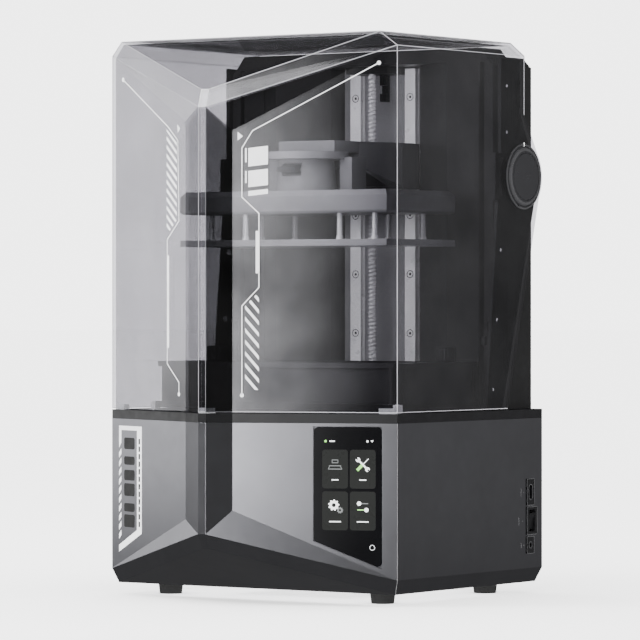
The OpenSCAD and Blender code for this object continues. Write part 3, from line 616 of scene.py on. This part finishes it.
# Status row, and a plain ring at the bottom
STATUS_Z = sz + 114.3
screen.plate(green, scaled(disc(sx + 11, STATUS_Z, 1.1)), ICON)
box_on(light, sx + 14.6, STATUS_Z - 0.6, sx + 19.6, STATUS_Z + 0.6)
screen.plate(light, scaled(disc(sx + 50, STATUS_Z, 1.0)), ICON)
wedge = [(sx + 53, STATUS_Z + 0.9), (sx + 54.3, STATUS_Z - 1), (sx + 55.6, STATUS_Z + 0.9)]
screen.plate(light, scaled(wedge), ICON)
ring_centre = screen.at((sx + 54.4) * MM, (sz + 17.2) * MM, ICON / 2)
ring_path = circle_points(ring_centre, 2.3 * MM, 24, screen.along, Z)
light.loop_stack([circle_points(p, 0.2 * MM, 6, (p - ring_centre).normalized(), screen.out)
                  for p in ring_path], around=True)
tiles.build("screen_tiles", tile_grey, "base", "screen_glass")
light.build("screen_icons", icon_light, "base", "screen_glass")
dim.build("screen_icons_dim", icon_dim, "base", "screen_glass")
green.build("screen_icons_green", icon_green, "base", "screen_glass")

# ---- Port outlines and plain label bars ----

PORT_LINE = 0.4 * MM
skin = Face((half_w, 0), (half_w, 1))
outlines = Shape()
# Each port, and its slot's half size as shares of the port's width and height
for name, slot_share in (("usb_port", (0.26, 0.29)), ("switch_body", None),
                         ("power_inlet", (0.2, 0.2))):
    low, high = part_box(name)
    wall = Face((high.x, 0), (high.x, 1))
    line_round(outlines, wall, (low.y, low.z, high.y, high.z), 1.6 * MM, PORT_LINE)
    mid_y, mid_z = (low.y + high.y) / 2, (low.z + high.z) / 2
    width, height = high.y - low.y, high.z - low.z
    if slot_share:
        half_y = slot_share[0] * width
        half_z = max(half_y, slot_share[1] * height)
        slot = (mid_y - half_y, mid_z - half_z, mid_y + half_y, mid_z + half_z)
        line_round(outlines, wall, slot, half_y, PORT_LINE)
    # A short bar and a small pointer towards the port
    bar_y = low.y - 0.75 * width
    bar_end = bar_y + 2 * PORT_LINE
    bar_low, bar_high = mid_z - 0.15 * height, mid_z + 0.15 * height
    skin.plate(outlines, [(bar_y, bar_low), (bar_end, bar_low),
                          (bar_end, bar_high), (bar_y, bar_high)], INK)
    dot_y = low.y - 0.38 * width
    skin.plate(outlines, [(dot_y - 0.7 * MM, mid_z), (dot_y + 0.7 * MM, mid_z - 0.8 * MM),
                          (dot_y + 0.7 * MM, mid_z + 0.8 * MM)], INK)
outlines.build("port_outlines", print_grey, "base", "light_trim")

# ---- Lifting screw with its thread ----

screw_low, screw_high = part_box("lift_screw")
centre = (screw_low + screw_high) / 2
thread_r = (screw_high.x - screw_low.x) / 2
root_r = thread_r - 0.75 * MM
PITCH = 4 * MM
STEPS = 20
# Lengths without a thread, at the foot and at the top
PLAIN_FOOT, PLAIN_TOP = 32 * MM, 9 * MM
thread_top = screw_high.z - PLAIN_TOP
turns = int((thread_top - screw_low.z - PLAIN_FOOT) / PITCH)
start_z = thread_top - turns * PITCH
# One tooth: radius, and height as a share of the pitch
profile = ((root_r, 0.0), (root_r, 0.35), (thread_r, 0.5), (thread_r, 0.85))
CORNERS = len(profile)
screw = Shape()
for i in range(turns * STEPS + 1):
    a = math.tau * i / STEPS
    z = start_z + PITCH * i / STEPS
    screw.points += [Vector((centre.x + r * math.cos(a), centre.y + r * math.sin(a), z + h * PITCH))
                     for r, h in profile]
for i in range(turns * STEPS):
    for k in range(CORNERS - 1):
        a = i * CORNERS + k
        screw.faces.append([a, a + 1, a + CORNERS + 1, a + CORNERS])
    # The crest joins the foot of the tooth one turn up
    if i + STEPS < turns * STEPS:
        a, b = (i + 1) * CORNERS - 1, (i + STEPS) * CORNERS
        screw.faces.append([a, b, b + CORNERS, a + CORNERS])
# Plain bars: core at the foot, foot, core inside the thread, neck and tip
core_r = root_r - 0.02 * MM
for low, high, r in (
        (screw_low.z, start_z + PITCH, core_r),
        (screw_low.z, screw_low.z + 30 * MM, thread_r),
        (start_z, thread_top + PITCH, core_r),
        (thread_top + 1 * MM, screw_high.z - 6 * MM, thread_r - 0.1 * MM),
        (screw_high.z - 7 * MM, screw_high.z, thread_r - 1 * MM)):
    screw.loop_stack([circle_points(Vector((centre.x, centre.y, z)), r, 24, X, Y)
                      for z in (low, high)])
made = screw.build("threaded_screw", finish["chrome_rod"], "screw", "chrome_rod")
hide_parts("lift_screw")

# ---- Rail screws: painted shade as a dark ring round each head and a dark socket in it ----

rail_low, rail_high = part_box("rails")
heads_low, heads_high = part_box("rail_screws")
RAIL_HALF_W = 6 * MM
SCREW_ROWS, SCREW_GAP = 5, 57.4 * MM
rail_x = rail_high.x - RAIL_HALF_W
head_r = (heads_high.z - heads_low.z - (SCREW_ROWS - 1) * SCREW_GAP) / 2
screw_shade = Shape()
for side in (-1, 1):
    for row in range(SCREW_ROWS):
        at = Vector((side * rail_x, rail_low.y, heads_low.z + head_r + row * SCREW_GAP))
        # Dark ring on the rail round the head: painted shade where head meets rail
        rings = [circle_points(at - Y * lift * MM, head_r + grow * MM, 24, X, Z)
                 for grow, lift in ((0.1, 0.0), (0.1, 0.12), (0.75, 0.12), (0.75, 0.0))]
        screw_shade.loop_stack(rings, around=True)
        # Dark hexagon on the head's face: painted shade standing for the socket recess
        front = Vector((at.x, heads_low.y, at.z))
        screw_shade.loop_stack([circle_points(front - Y * lift * MM, head_r * 0.45, 6, X, Z)
                            for lift in (-0.3, 0.06)])
screw_shade.build("rail_screw_painted_shade", finish["black_trim"], "base", "black_trim")

# ---- Coil springs on the platform pins ----

spring_low, spring_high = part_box("pin_springs")
pin_low, pin_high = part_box("sprung_pins")
platform_mid = (pin_low + pin_high) / 2
WIRE_R, COIL_R = 0.42 * MM, 2.75 * MM
COILS, COIL_STEPS = 9, 12
PIN_X, PIN_Y = (54.4 * MM, 94 * MM), 41 * MM
spring_h = spring_high.z - spring_low.z
springs = Shape()
for px in [side * x for side in (-1, 1) for x in PIN_X]:
    for py in (platform_mid.y - PIN_Y, platform_mid.y + PIN_Y):
        coil = []
        for i in range(COILS * COIL_STEPS + 1):
            a = math.tau * i / COIL_STEPS
            z = spring_low.z + WIRE_R + (spring_h - 2 * WIRE_R) * i / (COILS * COIL_STEPS)
            coil.append(Vector((px + COIL_R * math.cos(a), py + COIL_R * math.sin(a), z)))
        tube(springs, coil, WIRE_R, 6)
made = springs.build("coil_springs", finish["chrome_rod"], "carriage", "chrome_rod", smooth=True)
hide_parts("pin_springs")
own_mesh(made)

# ---- Painted edge highlights: light beads along sharp edges ----

# Edges that turn less than this are part of a curve
SHARP = math.radians(9)
# No beads this near the hinge pin, where the round hinge covers sit
HINGE_CLEAR = 34.5 * MM


def painted_highlight_beads(name, part, radius, inset, keep, material, body):
    """Thin round light beads just inside the sharp outer edges of a CAD node, painting the highlights on those
    edges.
    """
    work = bmesh.new()
    work.from_mesh(nodes[part].data)
    bmesh.ops.remove_doubles(work, verts=work.verts, dist=1e-6)
    sharp = [e for e in work.edges if len(e.link_faces) == 2 and e.calc_face_angle() > SHARP
             and e.is_convex and keep(e.verts[0].co) and keep(e.verts[1].co)]
    places = {}
    for e in sharp:
        for v in e.verts:
            way = sum((f.normal for f in e.link_faces), Vector())
            places.setdefault(v.index, [v.co.copy(), Vector()])[1] += way
    order = {index: i for i, index in enumerate(places)}
    points = [co - way.normalized() * inset for co, way in places.values()]
    mesh = bpy.data.meshes.new(name)
    mesh.from_pydata(points, [[order[v.index] for v in e.verts] for e in sharp], [])
    work.free()
    made = bpy.data.objects.new(name, mesh)
    bpy.context.scene.collection.objects.link(made)
    bpy.ops.object.select_all(action="DESELECT")
    bpy.context.view_layer.objects.active = made
    made.select_set(True)
    bpy.ops.object.convert(target="CURVE")
    made = bpy.context.object
    made.data.bevel_depth = radius
    made.data.bevel_resolution = 1
    made.data.materials.append(material)
    made.select_set(False)
    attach(made, body)
    return made


def on_outside(co):
    """True on the cover's side walls, roof, front faces or prow, clear of the hinge covers."""
    if math.hypot(co.y - pivot.y, co.z - pivot.z) < HINGE_CLEAR:
        return False
    if abs(co.x) > half_w - 0.5 * MM or co.z > cad_high.z - 0.5 * MM:
        return True
    ahead = [(Vector((co.x, co.y, 0)) - f.start).dot(f.out) for f in (left_face, right_face)]
    return max(ahead) > -0.5 * MM or co.y < prow_y + 12 * MM


# A light, faintly glowing finish for beads that paint the highlights along the cover's edges
painted_edge_glow = surface("painted_edge_glow", (0.8, 0.8, 0.81), metallic=0, rough=0.25, rough_spread=0.05,
                     grain=0.4 * MM, bump=0, edge=0, glow=0.3)
# Painted highlight down the base's front right corner
painted_highlight_beads("base_corner_painted_highlight", "base_shell", 0.35 * MM, 0.35 * MM,
           lambda co: co.z > 8 * MM and (Vector((co.x, co.y)) - corner_r).length < 8 * MM,
           painted_corner_highlight, "base")
# Painted highlights along the cover's outer edges
painted_highlight_beads("cover_painted_edge_highlights", "cover_shell", 0.35 * MM, 0.7 * MM, on_outside,
           painted_edge_glow, "cover")

# ---- Round hinge covers: a raised rim, a rounded ring and an index tick ----

HINGE_STEPS = 72
# The rim's section: radius and height over the wall, in millimetres
RIM = ((31.3, 0.15), (31.3, 0.55), (30.3, 0.8), (29.2, 0.55), (29.2, 0.15))
# The rounded ring: its radius, and the half width and half height of its oval section
RING_R, RING_HALF_W, RING_HALF_H, RING_MID = 25.4, 2.4, 2.0, 1.0
# The tick's half width, and its ends
TICK_HALF, TICK_IN, TICK_OUT = 0.5, 29, 32.4
for side, hand in ((-1, "left"), (1, "right")):
    out = X * side
    mid = Vector((side * half_w, pivot.y, pivot.z))
    ring = Shape()
    ring.loop_stack([circle_points(mid + out * lift * MM, r * MM, HINGE_STEPS, Y, Z)
                     for r, lift in RIM], around=True)
    bulge = []
    for a in (math.tau * i / HINGE_STEPS for i in range(HINGE_STEPS)):
        away = Y * math.cos(a) + Z * math.sin(a)
        bulge.append([mid + out * (RING_MID + RING_HALF_H * math.sin(b)) * MM
                      + away * (RING_R + RING_HALF_W * math.cos(b)) * MM
                      for b in (math.tau * k / 10 for k in range(10))])
    ring.loop_stack(bulge, around=True)
    ring.build("hinge_ring_" + hand, ring_black, "cover", "black_trim", smooth=True)
    tick = Shape()
    tick.loop_stack([[mid + out * lift * MM + Y * dy * MM + Z * dz * MM
                      for dy, dz in ((-TICK_HALF, TICK_IN), (TICK_HALF, TICK_IN),
                                     (TICK_HALF, TICK_OUT), (-TICK_HALF, TICK_OUT))]
                     for lift in (0.35, 1.0)])
    tick.build("hinge_tick_" + hand, print_white, "cover", "light_trim")

# ---- Vat knobs with ribs ----

RIBS, RIB_STEPS, RIB_DEPTH = 18, 6, 0.05
# Depth under the top in millimetres, and the radius there as a share of the knob's
KNOB = ((14, 0.93), (13, 1.0), (1.2, 1.0), (0, 0.88))
for name, body in (("knob_left", "left_knob"), ("knob_right", "right_knob")):
    low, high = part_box(name)
    mid = (low + high) / 2
    outer = (high.x - low.x) / 2
    stack = []
    for depth, share in KNOB:
        z = high.z - depth * MM
        ring = []
        for i in range(RIBS * RIB_STEPS):
            a = math.tau * i / (RIBS * RIB_STEPS)
            r = outer * (share - RIB_DEPTH * (0.5 - 0.5 * math.cos(RIBS * a)))
            ring.append(Vector((mid.x + r * math.cos(a), mid.y + r * math.sin(a), z)))
        stack.append(ring)
    knob = Shape()
    knob.loop_stack(stack)
    knob.build("grip_" + body, finish["black_trim"], body, "black_trim")

# ---- Floor, lights, world ----

bpy.ops.mesh.primitive_circle_add(vertices=96, radius=40, fill_type="NGON", location=(0, 0, 0))
floor = bpy.context.object
floor.name = "floor"
paper = surface("floor_paper", (0.95, 0.95, 0.95), metallic=0, rough=0.8, rough_spread=0.05,
                grain=2 * MM, bump=0.0, edge=0, mottle=0.003, glow=1.0, specular=0.0)
floor.data.materials.append(paper)
floor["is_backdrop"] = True

# How bright the world looks to the camera, to matt surfaces and to shiny ones
SKY = 4.3
WORLD_FILL = 3.3
SHINE_FILL = 0.1
world = bpy.data.worlds.new("studio")
bpy.context.scene.world = world
world.use_nodes = True
tree = world.node_tree
path = tree.nodes.new("ShaderNodeLightPath")
out = tree.nodes["World Output"].inputs["Surface"]
layer = tree.nodes["Background"]
layer.inputs["Strength"].default_value = SKY
for ray, strength in (("Is Diffuse Ray", WORLD_FILL), ("Is Glossy Ray", SHINE_FILL)):
    other = tree.nodes.new("ShaderNodeBackground")
    other.inputs["Color"].default_value = (1, 1, 1, 1)
    other.inputs["Strength"].default_value = strength
    both = tree.nodes.new("ShaderNodeMixShader")
    tree.links.new(path.outputs[ray], both.inputs["Fac"])
    tree.links.new(layer.outputs[0], both.inputs[1])
    tree.links.new(other.outputs[0], both.inputs[2])
    layer = both
tree.nodes["Background"].inputs["Color"].default_value = (1, 1, 1, 1)
tree.links.new(layer.outputs[0], out)
floor.visible_glossy = False
floor.visible_diffuse = False


def softbox(name, place, aim, width, height, radiance):
    """A soft panel whose brightness doesn't depend on its size."""
    lamp = bpy.data.lights.new(name, "AREA")
    lamp.shape = "RECTANGLE"
    lamp.size, lamp.size_y = width, height
    lamp.energy = radiance * math.pi * width * height
    made = bpy.data.objects.new(name, lamp)
    made.location = place
    made.rotation_euler = (Vector(aim) - Vector(place)).to_track_quat("-Z", "Y").to_euler()
    made.visible_camera = False
    bpy.context.scene.collection.objects.link(made)
    return made


def graded_panel(name, x0, x1, y, z0, z1, radiance):
    """An upright glowing panel that fades to nothing over the half of its width towards x1."""
    mesh = bpy.data.meshes.new(name)
    mesh.from_pydata([(x0, y, z0), (x1, y, z0), (x1, y, z1), (x0, y, z1)], [], [(0, 3, 2, 1)])
    made = bpy.data.objects.new(name, mesh)
    bpy.context.scene.collection.objects.link(made)
    glow = bpy.data.materials.new(name)
    glow.use_nodes = True
    tree = glow.node_tree
    tree.nodes.remove(tree.nodes["Principled BSDF"])
    place = tree.nodes.new("ShaderNodeTexCoord")
    parts = tree.nodes.new("ShaderNodeSeparateXYZ")
    fade = tree.nodes.new("ShaderNodeMapRange")
    fade.interpolation_type = "SMOOTHSTEP"
    values = (x0 + 0.5 * (x1 - x0), x1, radiance, 0)
    for socket, value in zip(("From Min", "From Max", "To Min", "To Max"), values):
        fade.inputs[socket].default_value = value
    light = tree.nodes.new("ShaderNodeEmission")
    tree.links.new(place.outputs["Object"], parts.inputs["Vector"])
    tree.links.new(parts.outputs["X"], fade.inputs["Value"])
    tree.links.new(fade.outputs["Result"], light.inputs["Strength"])
    tree.links.new(light.outputs["Emission"], tree.nodes["Material Output"].inputs["Surface"])
    mesh.materials.append(glow)
    made.visible_camera = False
    made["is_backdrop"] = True


softbox("key_left", place=(-1.5, -0.35, 0.66), aim=(0, -0.05, 0.5), width=1.1, height=1.3,
        radiance=1.7)
graded_panel("front", x0=-0.22, x1=0.33, y=-0.85, z0=0.0, z1=1.0, radiance=5.0)
softbox("high_left", place=(-1.1, -1.2, 1.7), aim=(0, 0, 0.35), width=0.8, height=0.8,
        radiance=12.0)
chamber_fill = softbox("chamber_fill", place=(0.02, -0.075, 0.42), aim=(0.02, 0.14, 0.30),
                       width=0.16, height=0.14, radiance=17.0)
chamber_low = softbox("chamber_low", place=(0.02, -0.10, 0.25), aim=(0.02, 0.14, 0.26),
                      width=0.16, height=0.08, radiance=15.0)
chamber_fill.visible_glossy = False
chamber_low.visible_glossy = False
softbox("top", place=(-0.5, -0.2, 1.8), aim=(0, 0, 0.3), width=0.8, height=0.8, radiance=0.8)
softbox("right_back", place=(1.0, 1.0, 0.4), aim=(0.16, 0, 0.3), width=0.7, height=0.9,
        radiance=0.13)

# ---- Camera ----

TURN = math.radians(34.73)
camera_data = bpy.data.cameras.new("camera")
camera_data.sensor_width = 36
camera_data.lens = 240.5
camera_data.shift_x = 0.0078
camera_data.shift_y = -0.026
camera_data.clip_end = 100
camera = bpy.data.objects.new("camera", camera_data)
camera.location = (2.323, -3.333, 0.2774)
camera.rotation_euler = (math.pi / 2, 0, TURN)
bpy.context.scene.collection.objects.link(camera)
bpy.context.scene.camera = camera

low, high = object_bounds()
